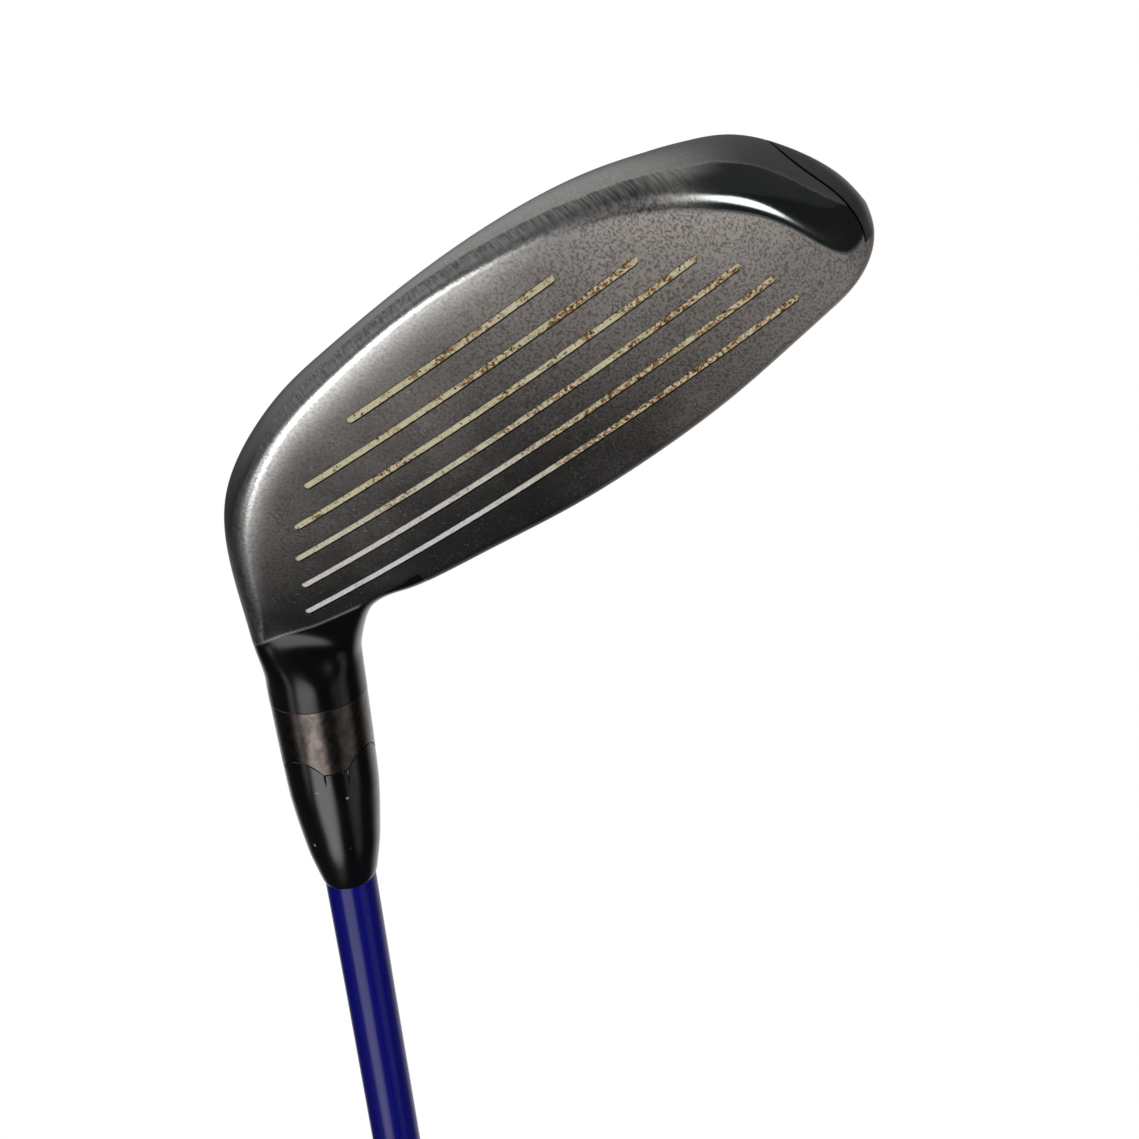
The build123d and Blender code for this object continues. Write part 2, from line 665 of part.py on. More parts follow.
def parts():
    """Every piece of the club by name."""
    made = head_parts()
    made["hosel_screw"] = hosel_screw()
    made["hosel_screw_washer"] = hosel_screw_washer()
    made["screw_retainer"] = screw_retainer()
    made["adapter_sleeve"] = adapter_sleeve()
    made["sleeve_oring"] = sleeve_oring()
    made["adjuster_ring"] = adjuster_ring()
    made["ferrule"] = ferrule()
    made["shaft"] = shaft()
    made["tip_plug"] = tip_plug()
    made["grip_tape"] = grip_tape()
    made["grip"] = grip()
    made["grip_end_cap"] = grip_end_cap()
    return made


if __name__ == "__main__":
    os.makedirs("parts", exist_ok=True)
    to_origin = Pos(-AXIS_FOOT.X, -AXIS_FOOT.Y, 0)
    for node, solid in parts().items():
        export_step(to_origin * solid, "parts/" + node + ".step")
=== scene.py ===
import math

import bpy
import numpy as np
from mathutils import Matrix, Vector
from mathutils.kdtree import KDTree


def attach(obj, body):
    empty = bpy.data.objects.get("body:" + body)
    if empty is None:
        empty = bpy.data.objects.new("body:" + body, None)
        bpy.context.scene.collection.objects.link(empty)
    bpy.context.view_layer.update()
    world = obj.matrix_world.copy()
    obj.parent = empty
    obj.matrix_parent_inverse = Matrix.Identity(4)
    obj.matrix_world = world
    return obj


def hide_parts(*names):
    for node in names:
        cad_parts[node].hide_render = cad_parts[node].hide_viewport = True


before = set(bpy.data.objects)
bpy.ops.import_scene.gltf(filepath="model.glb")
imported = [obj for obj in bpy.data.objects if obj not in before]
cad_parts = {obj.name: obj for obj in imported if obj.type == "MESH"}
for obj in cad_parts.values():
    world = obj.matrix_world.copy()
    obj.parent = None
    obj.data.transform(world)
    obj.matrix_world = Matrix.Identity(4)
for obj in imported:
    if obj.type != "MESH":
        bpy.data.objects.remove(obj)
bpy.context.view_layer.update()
MM = 0.001

# ------------------------------------------------------------------ the club's own geometry, in millimetres
LIE = math.radians(59.5)
LOFT = math.radians(21.5)
AXIS = np.array((-math.cos(LIE), 0.0, math.sin(LIE)))       # up the shaft
ACROSS = np.array((math.sin(LIE), 0.0, math.cos(LIE)))      # square to it, towards the toe
FACE_CENTRE = np.array((24.4, 9.03, 20.65))
FACE_BULGE_R = 295.7
FACE_ROLL_R = 266.6
GROOVE_PITCH = 4.53
GROOVE_WIDTH = 1.15
PAINT_WIDTH = 0.82
GROOVE_ENDS = ((11.4, 43.9), (-0.1, 53.4), (-6.1, 59.4), (-10.1, 63.4), (-13.1, 66.4), (-16.6, 67.9))
HOSEL_R = 8.03
HOSEL_TOP = 50.78
TUBE_MIDDLE = 48.365
AXIS_FOOT = np.array((-3.08, -6.86, 0.0))     # where the shaft axis meets the ground, from the drawing datum
TOP_ROLL = 1.8
REAR_HEIGHT = 0.38                            # of the trailing edge, as a share of the section's height
GROOVE_CUT = (-1.0, 0.45)                     # from above the face to the floor of a score line
PAINT_DEPTH = (0.16, 0.44)
BORE_R = 5.75
BORE_OUTLINE = ((-12, 5.0), (21.0, 5.0), (21.0, 2.8), (24.5, 2.8), (24.5, BORE_R), (55, BORE_R))
KEY_COUNT = 4
KEY_BLOCK = ((6.2, 7.5), 1.0, (-1.4, 0.5))    # reach from the axis, half width, height about the hosel's top
NOTCH_BLOCK = ((6.2, 7.6), 1.05, (-1.45, 1))  # the same, with clearance
ROUND_TURNS = 128
FINE_TURNS = 288

# foot x and z, top x and z, edge roll, trailing edge, head share
HEEL_SECTIONS = (
    (-33.31, 35.52, -19.46, 43.67, 2.0, -14.9, 0.0),
    (-31.53, 31.40, -17.97, 41.62, 2.8, -15.3, 0.22),
    (-28.82, 27.24, -15.63, 39.54, 4.0, -16.8, 0.80),
    (-25.36, 22.24, -12.68, 37.36, 5.2, -19.0, 1.0),
    (-20.50, 15.55, -9.05, 35.38, 6.1, -22.5, 1.0),
    (-12.35, 8.00, -4.55, 35.20, 6.2, -27.5, 1.0),
)
# x, sole height, crown height, edge roll, trailing edge, set-back behind the face surface
BODY_SECTIONS = (
    (0.0, 2.95, 36.3, 5.3, -31.5, 0.0),
    (13.0, 0.9, 37.4, 4.3, -39.5, 0.0),
    (27.0, 0.1, 38.5, 3.8, -44.5, 0.0),
    (42.0, 0.25, 38.45, 4.9, -45.5, 0.0),
    (54.0, 1.9, 37.5, 6.4, -43.0, 0.0),
    (64.0, 4.9, 35.9, 9.4, -38.0, 0.0),
    (71.0, 7.9, 34.7, 14.0, -32.3, 0.0),
    (75.5, 11.9, 33.6, 17.0, -28.0, 0.4),
    (78.7, 16.4, 32.0, 13.0, -24.5, 2.2),
    (81.0, 21.0, 30.0, 7.0, -20.5, 5.6),
    (82.2, 25.2, 28.4, 2.4, -16.5, 10.2),
)


def face_v(y, z):
    """Distance up the face from its centre line."""
    return -(y - FACE_CENTRE[1]) * math.sin(LOFT) + (z - FACE_CENTRE[2]) * math.cos(LOFT)


def face_y(x, z):
    """Height of the bulged and rolled face above the XZ plane."""
    y = FACE_CENTRE[1]
    for _ in range(4):
        sag = (x - FACE_CENTRE[0]) ** 2 / (2 * FACE_BULGE_R) + face_v(y, z) ** 2 / (2 * FACE_ROLL_R)
        y = FACE_CENTRE[1] - ((z - FACE_CENTRE[2]) * math.sin(LOFT) + sag) / math.cos(LOFT)
    return y


def bezier(p0, d0, p1, d1, count):
    """Cubic curve from p0, leaving along d0, to p1, arriving along d1; p1 itself is left out."""
    a, b = np.array(p0, float), np.array(p1, float)
    c0 = a + np.array(d0, float)
    c1 = b - np.array(d1, float)
    s = np.linspace(0, 1, count, endpoint=False)[:, None]
    return (1 - s) ** 3 * a + 3 * s * (1 - s) ** 2 * c0 + 3 * s * s * (1 - s) * c1 + s ** 3 * b


def round_outline(radius, counts):
    """Circle as (y, h), with the same points per part as a head section."""
    corners = (62, -35, -72, -148, -208, -276, -298)
    angles = np.concatenate([np.linspace(a, b, n, endpoint=False)
                             for a, b, n in zip(corners, corners[1:], counts)])
    a = np.radians(angles)
    return np.stack([radius * np.cos(a), radius + radius * np.sin(a)], axis=1)


def head_outline(front, height, roll, rear, counts):
    """Section of the head as (y, h): face, leading-edge roll, sole, rear, crown, top roll."""
    roll = min(roll, 0.9 * height - TOP_ROLL)
    top_front = (front(height - TOP_ROLL), height - TOP_ROLL)
    edge = (front(roll), roll)
    slope = (edge[0] - top_front[0]) / (top_front[1] - roll)
    depth = edge[0] - rear
    back = min(1.5 + 0.65 * roll, 0.3 * depth)
    sole_front = (edge[0] - back, 0.04 * roll)
    rear_h = REAR_HEIGHT * height
    round_r = min(3.2, 0.12 * height)
    sole_rear = (rear + 0.8 * round_r, rear_h - round_r)
    crown_rear = (rear + 0.8 * round_r, rear_h + round_r)
    crown_front = (front(height) - 1.5 * TOP_ROLL, height)
    run = crown_front[0] - crown_rear[0]
    rise = height - crown_rear[1]
    sole_run = sole_front[0] - sole_rear[0]
    down = np.array((slope, -1.0))
    outline = np.concatenate((
        bezier(top_front, (0, 0), edge, (0, 0), counts[0]),
        bezier(edge, down * 0.55 * roll, sole_front, (-0.5 * back, -0.02 * roll), counts[1]),
        bezier(sole_front, (-0.35 * sole_run, -0.05 * roll), sole_rear,
               (-0.45 * sole_run, 0.6 * sole_rear[1]), counts[2]),
        bezier(sole_rear, (-0.8 * round_r, 0.5 * round_r), crown_rear,
               (0.6 * round_r, 0.8 * round_r), counts[3]),
        bezier(crown_rear, (0.28 * run, 0.62 * rise), crown_front, (0.42 * run, 0.02 * run), counts[4]),
        bezier(crown_front, (TOP_ROLL, 0), top_front, down * 0.6 * TOP_ROLL, counts[5]),
    ))
    for i in range(counts[0]):
        h = top_front[1] + (edge[1] - top_front[1]) * i / counts[0]
        outline[i] = (front(h), h)
    return outline


def stations(counts):
    """Every driving section as an array of points (station, point, xyz)."""
    made = []
    ring = round_outline(HOSEL_R, counts)
    middle = AXIS_FOOT[1]
    for t in (HOSEL_TOP, TUBE_MIDDLE):
        foot = AXIS_FOOT + AXIS * t - ACROSS * HOSEL_R
        made.append([(foot[0] + ACROSS[0] * h, middle + y, foot[2] + ACROSS[2] * h) for y, h in ring])
    for foot_x, foot_z, top_x, top_z, roll, rear, share in HEEL_SECTIONS:
        foot = np.array((foot_x, foot_z))
        height = math.dist((foot_x, foot_z), (top_x, top_z))
        up = (np.array((top_x, top_z)) - foot) / height
        flat = head_outline(lambda h: face_y(*(foot + up * h)), height, roll, rear, counts)
        mixed = share * flat + (1 - share) * (round_outline(height / 2, counts) + np.array((middle, 0)))
        made.append([(foot[0] + up[0] * h, y, foot[1] + up[1] * h) for y, h in mixed])
    for x, sole, crown, roll, rear, behind in BODY_SECTIONS:
        flat = head_outline(lambda h: face_y(x, sole + h) - behind, crown - sole, roll, rear, counts)
        made.append([(x, y, sole + h) for y, h in flat])
    return np.array(made)


def spline_through(knots, values, at):
    """Natural cubic spline through values (n, ...) at knots, read at the given places."""
    n = len(knots)
    h = np.diff(knots)
    flat = values.reshape(n, -1)
    a = np.zeros((n, n))
    b = np.zeros_like(flat)
    a[0, 0] = a[-1, -1] = 1
    for i in range(1, n - 1):
        a[i, i - 1:i + 2] = h[i - 1], 2 * (h[i - 1] + h[i]), h[i]
        b[i] = 6 * ((flat[i + 1] - flat[i]) / h[i] - (flat[i] - flat[i - 1]) / h[i - 1])
    m = np.linalg.solve(a, b)
    k = np.clip(np.searchsorted(knots, at, side="right") - 1, 0, n - 2)
    d = (at - knots[k])[:, None]
    hk = h[k][:, None]
    slope = (flat[k + 1] - flat[k]) / hk - hk * (2 * m[k] + m[k + 1]) / 6
    out = flat[k] + slope * d + m[k] / 2 * d ** 2 + (m[k + 1] - m[k]) / (6 * hk) * d ** 3
    return out.reshape((len(at),) + values.shape[1:])


def station_knots(base):
    """Place of each section along the head, from the mean distance between their points."""
    step = np.linalg.norm(np.diff(base, axis=0), axis=2).mean(axis=1)
    return np.concatenate(([0], np.cumsum(step)))


def skin(counts, rows):
    """The head's outer surface as rows of closed outlines, from the hosel to the toe."""
    base = stations(counts)
    knots = station_knots(base)
    return spline_through(knots, base, np.linspace(0.0, 1.0, rows) * knots[-1])


# ------------------------------------------------------------------ mesh helpers
def mesh_object(name, points, faces, material, smooth=True):
    """New object from points in millimetres from the drawing datum."""
    mesh = bpy.data.meshes.new(name)
    mesh.from_pydata([tuple(p) for p in (np.asarray(points) - AXIS_FOOT) * MM], [], faces)
    mesh.update()
    mesh.polygons.foreach_set("use_smooth", [smooth] * len(mesh.polygons))
    obj = bpy.data.objects.new(name, mesh)
    bpy.context.scene.collection.objects.link(obj)
    if material:
        mesh.materials.append(material)
    return obj


def place(obj, body, nodes):
    """Makes obj ride on a body, in place of CAD nodes."""
    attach(obj, body)
    if nodes:
        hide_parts(*nodes)
    return obj


def around(angle):
    """Unit vectors square to the shaft axis, one per angle."""
    return np.cos(angle)[:, None] * ACROSS + np.sin(angle)[:, None] * np.cross(AXIS, ACROSS)


def grid_faces(rows, columns):
    """Quads between rows of points that each close on themselves."""
    i, j = np.meshgrid(np.arange(rows - 1), np.arange(columns), indexing="ij")
    k = (j + 1) % columns
    below, above = i * columns, (i + 1) * columns
    quads = np.stack((below + j, below + k, above + k, above + j), axis=-1)
    return [tuple(q) for q in quads.reshape(-1, 4).tolist()]


def apply_modifiers(obj):
    """Makes the result of obj's modifiers its own mesh."""
    bpy.context.view_layer.update()
    graph = bpy.context.evaluated_depsgraph_get()
    made = bpy.data.meshes.new_from_object(obj.evaluated_get(graph), depsgraph=graph)
    obj.modifiers.clear()
    obj.data = made


def boolean(obj, tool, operation="DIFFERENCE", keep=False):
    """Cuts, joins or intersects obj with a tool, for good."""
    modifier = obj.modifiers.new("boolean", "BOOLEAN")
    modifier.operation = operation
    modifier.solver = "EXACT"
    modifier.object = tool
    apply_modifiers(obj)
    if not keep:
        bpy.data.objects.remove(tool)


def crisp(obj, degrees=32):
    """Smooth shading that breaks at real edges."""
    obj.data.polygons.foreach_set("use_smooth", [True] * len(obj.data.polygons))
    obj.data.set_sharp_from_angle(angle=math.radians(degrees))


def turned(name, outline, material, origin=AXIS_FOOT, x_dir=ACROSS, z_dir=AXIS):
    """Closed solid of revolution through (height, radius) pairs; the outline may return as a bore."""
    origin, x_dir, z_dir = np.array(origin, float), np.array(x_dir), np.array(z_dir)
    y_dir = np.cross(z_dir, x_dir)
    angle = 2 * math.pi * np.arange(ROUND_TURNS) / ROUND_TURNS
    ring = np.cos(angle)[:, None] * x_dir + np.sin(angle)[:, None] * y_dir
    rows = [origin + z_dir * h + ring * r for h, r in outline]
    return mesh_object(name, np.concatenate(rows), grid_faces(len(outline), ROUND_TURNS), material)


def capped(name, outline, **where):
    """Tool for a cut or a join: solid of revolution with flat ends that close on the axis."""
    outline = [(outline[0][0], 0.001), *outline, (outline[-1][0], 0.001)]
    return turned(name, outline, None, **where)


def prism(name, outline, reach0, reach1, origin, x_dir, y_dir):
    """Solid between two heights over an outline of (x, y) pairs in a plane."""
    origin, x_dir, y_dir = (np.array(v, float) for v in (origin, x_dir, y_dir))
    z_dir = np.cross(x_dir, y_dir)
    flat = np.array([origin + x_dir * a + y_dir * b for a, b in outline])
    n = len(flat)
    faces = grid_faces(2, n) + [tuple(reversed(range(n))), tuple(range(n, 2 * n))]
    points = np.concatenate((flat + z_dir * reach0, flat + z_dir * reach1))
    return mesh_object(name, points, faces, None, False)


def key_block(name, k, block):
    """Block number k of the ring's four keys, or of the notches that take them."""
    (near, far), half, (low, high) = block
    angle = math.radians(45 + 90 * k)
    out = ACROSS * math.cos(angle) + np.cross(AXIS, ACROSS) * math.sin(angle)
    square = [(near, -half), (far, -half), (far, half), (near, half)]
    return prism(name, square, low, high, AXIS_FOOT + AXIS * HOSEL_TOP, out, np.cross(AXIS, out))


# ------------------------------------------------------------------ materials
class Shader:
    """Short names for building a node material."""

    def __init__(self, name):
        self.material = bpy.data.materials.new(name)
        self.material.use_nodes = True
        self.nodes = self.material.node_tree.nodes
        self.links = self.material.node_tree.links
        self.surface = self.nodes["Principled BSDF"]
        self.position = self.nodes.new("ShaderNodeTexCoord").outputs["Object"]

    def put(self, socket, value):
        if isinstance(value, (int, float, tuple)):
            socket.default_value = value
        else:
            self.links.new(value, socket)

    def set(self, **values):
        names = {"color": "Base Color", "metallic": "Metallic", "roughness": "Roughness", "normal": "Normal",
                 "coat": "Coat Weight", "coat_roughness": "Coat Roughness", "specular": "Specular IOR Level"}
        for key, value in values.items():
            self.put(self.surface.inputs[names[key]], value)

    def xyz(self):
        node = self.nodes.new("ShaderNodeSeparateXYZ")
        self.links.new(self.position, node.inputs[0])
        return node.outputs

    def mapped(self, rotation=(0, 0, 0), scale=(1, 1, 1)):
        node = self.nodes.new("ShaderNodeMapping")
        node.vector_type = "TEXTURE"
        self.links.new(self.position, node.inputs["Vector"])
        node.inputs["Rotation"].default_value = rotation
        node.inputs["Scale"].default_value = tuple(1 / v for v in scale)
        return node.outputs["Vector"]

    def noise(self, scale, detail=4.0, rough=0.55, vector=None):
        node = self.nodes.new("ShaderNodeTexNoise")
        node.inputs["Scale"].default_value = scale
        node.inputs["Detail"].default_value = detail
        node.inputs["Roughness"].default_value = rough
        self.links.new(vector if vector is not None else self.position, node.inputs["Vector"])
        return node.outputs["Fac"]

    def cells(self, scale, vector=None):
        node = self.nodes.new("ShaderNodeTexVoronoi")
        node.inputs["Scale"].default_value = scale
        self.links.new(vector if vector is not None else self.position, node.inputs["Vector"])
        return node.outputs["Distance"]

    def steps(self, value, low, high, out_low=0.0, out_high=1.0):
        node = self.nodes.new("ShaderNodeMapRange")
        node.interpolation_type = "SMOOTHSTEP"
        self.put(node.inputs["Value"], value)
        for key, number in (("From Min", low), ("From Max", high), ("To Min", out_low), ("To Max", out_high)):
            node.inputs[key].default_value = number
        return node.outputs["Result"]

    def math(self, operation, a, b=0.0):
        node = self.nodes.new("ShaderNodeMath")
        node.operation = operation
        self.put(node.inputs[0], a)
        self.put(node.inputs[1], b)
        return node.outputs[0]

    def times(self, *values):
        result = values[0]
        for value in values[1:]:
            result = self.math("MULTIPLY", result, value)
        return result

    def mix(self, share, a, b):
        node = self.nodes.new("ShaderNodeMix")
        node.data_type = "RGBA"
        self.put(node.inputs[0], share)
        self.put(node.inputs[6], a)
        self.put(node.inputs[7], b)
        return node.outputs[2]

    def blend(self, share, a, b):
        node = self.nodes.new("ShaderNodeMix")
        self.put(node.inputs[0], share)
        self.put(node.inputs[2], a)
        self.put(node.inputs[3], b)
        return node.outputs[0]

    def mask(self, name):
        node = self.nodes.new("ShaderNodeAttribute")
        node.attribute_name = name
        return node.outputs["Fac"]

    def bump(self, height, strength, distance):
        node = self.nodes.new("ShaderNodeBump")
        node.inputs["Strength"].default_value = strength
        node.inputs["Distance"].default_value = distance
        self.links.new(height, node.inputs["Height"])
        return node.outputs["Normal"]


def gray(v, warm=0.0):
    """Gray of brightness v, a little redder as warm grows."""
    return (v * (1 + warm), v, v * (1 - warm), 1.0)


def head_material():
    """Brushed dark face with painted light that brightens it towards the toe and sole, a worn edge that also
    carries a painted highlight, satin sole with painted shade towards the heel, glossy toe bevel and painted
    crown and hosel.
    """
    s = Shader("head_finish")
    axes = s.xyz()
    x, z = axes["X"], axes["Z"]
    across = s.mapped(rotation=(-LOFT, 0.22, 0), scale=(3400, 3400, 300))
    scratches = s.noise(1.0, 3, 0.6, across)
    crossed = s.noise(1.0, 2, 0.6, s.mapped(rotation=(-LOFT, -0.30, 0), scale=(3000, 3000, 260)))
    grain = s.noise(2600, 4, 0.7)
    cloud = s.noise(60, 3, 0.6)
    drift = s.math("MULTIPLY", s.math("SUBTRACT", cloud, 0.5), 0.035)
    # painted light: the face's colour runs from near black at the heel to a bright colour at the toe and
    # towards the sole, standing in for the brighter reflection there; the hair lines and specks follow it
    toeward = s.steps(s.math("ADD", x, drift), 0.026, 0.086)
    lowness = s.steps(s.math("ADD", z, drift), 0.034, 0.004)
    painted_toe_light = s.math("ADD", s.times(toeward, s.blend(lowness, 0.45, 1.0)), s.times(lowness, 0.16))
    face = s.mix(painted_toe_light, (0.022, 0.0208, 0.020, 1), (0.88, 0.80, 0.74, 1))
    face = s.mix(s.times(s.steps(scratches, 0.55, 0.38), 0.55), face, (0.012, 0.012, 0.012, 1))
    hair = s.math("MAXIMUM", s.steps(scratches, 0.60, 0.74), s.times(s.steps(crossed, 0.62, 0.76), 0.7))
    patchy = s.steps(s.noise(170, 2), 0.40, 0.6)
    face = s.mix(s.times(hair, patchy, s.blend(painted_toe_light, 0.20, 0.60)), face, gray(0.62, 0.03))
    speck = s.times(s.steps(s.noise(2300, 2, 0.5), 0.72, 0.78), s.blend(painted_toe_light, 0.5, 1.0))
    face = s.mix(s.times(speck, 0.5), face, gray(0.8, 0.04))
    satin = s.mix(s.steps(grain, 0.35, 0.65), (0.30, 0.312, 0.298, 1), (0.38, 0.395, 0.377, 1))
    # painted shade: the satin turns darker towards the heel, standing in for the darker reflection seen there
    satin = s.mix(s.steps(x, 0.045, 0.0), satin, gray(0.15, 0.02))
    brushed = s.mix(s.steps(scratches, 0.3, 0.7), gray(0.09, 0.03), gray(0.28, 0.03))
    # wear to bare steel on the leading edge, made near white as a painted highlight
    wear_and_highlight = s.mix(s.steps(grain, 0.35, 0.6), gray(0.55, 0.02), gray(0.97, 0.015))
    bevel = s.mix(s.steps(grain, 0.5, 0.7), (0.22, 0.24, 0.235, 1), (0.30, 0.315, 0.31, 1))
    color = s.mix(s.mask("brushed"), face, brushed)
    color = s.mix(s.mask("wear_and_highlight"), color, wear_and_highlight)
    color = s.mix(s.mask("bevel"), color, bevel)
    color = s.mix(s.mask("satin"), color, satin)
    gloss = s.mask("gloss")
    color = s.mix(gloss, color, (0.0025, 0.0028, 0.0036, 1))
    line = s.mask("silver")
    color = s.mix(line, color, gray(0.30))
    rough = s.steps(scratches, 0.25, 0.75, 0.36, 0.50)
    rough = s.blend(s.mask("wear_and_highlight"), rough, 0.26)
    rough = s.blend(s.mask("bevel"), rough, 0.13)
    rough = s.blend(s.mask("satin"), rough, 0.40)
    rough = s.blend(gloss, rough, s.steps(s.noise(240, 3), 0.3, 0.8, 0.17, 0.24))
    textured = s.math("SUBTRACT", 1.0, s.math("MAXIMUM", gloss, s.times(s.mask("bevel"), 0.85)))
    height = s.times(s.math("ADD", scratches, s.times(grain, 0.5)), textured)
    finished = s.math("MAXIMUM", s.math("MAXIMUM", s.mask("brushed"), s.mask("wear_and_highlight")),
                      s.math("MAXIMUM", s.mask("bevel"), s.mask("satin")))
    metal = s.times(s.math("SUBTRACT", 1.0, gloss), s.blend(finished, 0.5, 1.0))
    s.set(color=color, metallic=metal, roughness=rough, specular=0.35,
          normal=s.bump(height, 0.35, 0.00003))
    return s.material


def paint_material():
    """Cream paint left in the score lines, whiter towards the crown, rusty where it has flaked."""
    s = Shader("score_line_paint")
    axes = s.xyz()
    flakes = s.noise(2300, 4, 0.7)
    patch = s.noise(210, 2, 0.5)
    clean = s.times(s.steps(axes["Z"], 0.018, 0.030), s.steps(axes["X"], 0.045, 0.012))
    olive = s.mix(s.noise(700, 3), (0.74, 0.66, 0.36, 1), (0.95, 0.88, 0.64, 1))
    white = s.mix(s.noise(700, 3), gray(0.90, 0.01), gray(0.97, 0.01))
    color = s.mix(clean, olive, white)
    rusty = s.steps(s.math("ADD", patch, s.times(axes["X"], 3.0)), 0.50, 0.68)
    rust = s.times(rusty, s.steps(flakes, 0.44, 0.54))
    color = s.mix(s.times(rust, s.math("SUBTRACT", 1.0, s.times(clean, 0.8))), color, (0.30, 0.13, 0.04, 1))
    pits = s.times(s.steps(flakes, 0.57, 0.63), s.math("SUBTRACT", 1.0, s.times(clean, 0.75)))
    color = s.mix(pits, color, (0.02, 0.015, 0.010, 1))
    s.set(color=color, roughness=0.75, specular=0.2, normal=s.bump(flakes, 0.5, 0.0001))
    return s.material


def grained(name, color_a, color_b, roughness, metallic, scale, depth=0.00003):
    """Even material with fine grain in its colour, roughness and surface."""
    s = Shader(name)
    grain = s.noise(scale, 5, 0.6)
    wear = s.noise(scale * 0.08, 3)
    s.set(color=s.mix(s.steps(grain, 0.3, 0.7), color_a, color_b), metallic=metallic,
          roughness=s.steps(s.math("ADD", s.times(grain, 0.5), s.times(wear, 0.5)), 0.35, 0.65,
                            roughness * 0.8, roughness * 1.2),
          normal=s.bump(grain, 0.3, depth))
    return s.material


def turned_metal(name, color_a, color_b, roughness):
    """Metal with fine rings around the shaft axis from turning."""
    s = Shader(name)
    tilt = (0, math.pi / 2 - LIE, 0)
    rings = s.noise(1.0, 3, 0.6, s.mapped(rotation=tilt, scale=(150, 150, 6000)))
    wear = s.noise(500, 4, 0.6)
    s.set(color=s.mix(s.steps(wear, 0.35, 0.65), color_a, color_b), metallic=1.0,
          roughness=s.steps(rings, 0.3, 0.7, roughness * 0.8, roughness * 1.2),
          normal=s.bump(rings, 0.3, 0.00002))
    return s.material


def ferrule_material():
    """Polished black plastic with a faint blue cast and a little dust."""
    s = Shader("polished_ferrule")
    dust = s.steps(s.cells(420), 0.14, 0.07)
    dust = s.times(dust, s.steps(s.noise(120, 2), 0.50, 0.56))
    color = s.mix(dust, (0.0016, 0.0020, 0.0034, 1), (0.34, 0.38, 0.30, 1))
    smear = s.steps(s.noise(110, 3), 0.3, 0.7, 0.15, 0.21)
    s.set(color=color, roughness=s.math("ADD", smear, s.times(dust, 0.5)))
    return s.material


def shaft_material():
    """Deep blue paint under clear coat, with a trace of the carbon below."""
    s = Shader("shaft_blue")
    tilt = (0, math.pi / 2 - LIE, 0)
    fibre = s.noise(1.0, 3, 0.6, s.mapped(rotation=tilt, scale=(2500, 2500, 70)))
    flake = s.noise(5200, 2, 0.5)
    color = s.mix(s.steps(fibre, 0.35, 0.65), (0.0006, 0.0008, 0.17, 1), (0.0015, 0.002, 0.25, 1))
    color = s.mix(s.times(s.steps(flake, 0.66, 0.72), 0.4), color, (0.004, 0.006, 0.5, 1))
    s.set(color=color, metallic=0.0, roughness=0.5, specular=0.1, coat=0.35, coat_roughness=0.12,
          normal=s.bump(fibre, 0.05, 0.00001))
    return s.material


def panel_material():
    """Satin grey toe panel, finely brushed."""
    s = Shader("toe_panel_satin")
    brush = s.noise(1.0, 3, 0.6, s.mapped(rotation=(0, 0.6, 0), scale=(500, 5000, 5000)))
    s.set(color=s.mix(s.steps(brush, 0.3, 0.7), (0.24, 0.25, 0.24, 1), (0.30, 0.31, 0.30, 1)), metallic=1.0,
          roughness=s.steps(brush, 0.3, 0.7, 0.34, 0.46), normal=s.bump(brush, 0.3, 0.00002))
    return s.material


MATERIALS = {
    "head": head_material(),
    "paint": paint_material(),
    "panel": panel_material(),
    "ferrule": ferrule_material(),
    "shaft": shaft_material(),
    "ring": turned_metal("ring_satin", (0.055, 0.047, 0.043, 1), (0.105, 0.088, 0.079, 1), 0.24),
    "sleeve": turned_metal("sleeve_anodised", gray(0.05), gray(0.09), 0.32),
    "fastener": grained("fastener_steel", gray(0.30), gray(0.42), 0.3, 1.0, 1800),
    "seal": grained("seal_rubber", gray(0.012), gray(0.03), 0.7, 0.0, 2500),
    "clip": grained("clip_plastic", gray(0.6, 0.03), gray(0.72, 0.03), 0.45, 0.0, 900),
    "grip": grained("grip_rubber", gray(0.013), gray(0.026), 0.62, 0.0, 2500, 0.00006),
    "tape": grained("grip_tape", (0.55, 0.5, 0.36, 1), (0.68, 0.62, 0.46, 1), 0.8, 0.0, 700, 0.00006),
    "weight": grained("weight_metal", gray(0.25), gray(0.34), 0.45, 1.0, 1200),
}

# ------------------------------------------------------------------ the head
OUTLINE_COUNTS = (64, 40, 56, 24, 56, 16)
HEAD_ROWS = 360
# the weight's port in the sole: where its seat meets the skin, and its axis
PORT_AT = (64.4249, -14.5347, 7.0272)
PORT_OUT = (0.359193, -0.099776, -0.927915)
PORT_ACROSS = (0.932568, 0.0, 0.360994)
PORT_OUTLINE = ((-8.6, 4.2), (-3.4, 4.2), (-3.4, 5.8), (3.0, 5.8))
BOSS_R = 7.9
BOSS_PROUD = 0.9
BOSS_EDGE_R = 0.7
PANEL_RECESS = (-1.1, 0, 0.55)
PANEL_GAP = 0.3
# edge between brushed face side and satin sole: outline part reached at each x
SEAM_X = (-31, -22, -14, -4, 7.8, 19.2, 30.4, 41.5, 51.6, 58.6, 66.6, 73.8, 76.2, 77.6, 80, 83)
SEAM_SEGMENT = (1.40, 1.36, 1.30, 1.26, 1.45, 1.52, 1.50, 1.43, 1.40, 1.45, 1.48, 1.45, 1.38, 1.32, 1.2, 1.1)
TOE_PANEL_SEAM = ((74.4, 6), (74.7, 12), (76.3, 17.4), (78.2, 22), (79.0, 26.5), (78.6, 29.4))
HOSEL_PAINT_END = ((-23.5, 31.3), (-17.7, 32.8), (-8.4, 33.9))


def smooth(value, low, high):
    """Smooth step from 0 at low to 1 at high."""
    s = np.clip((value - low) / (high - low), 0, 1)
    return s * s * (3 - 2 * s)


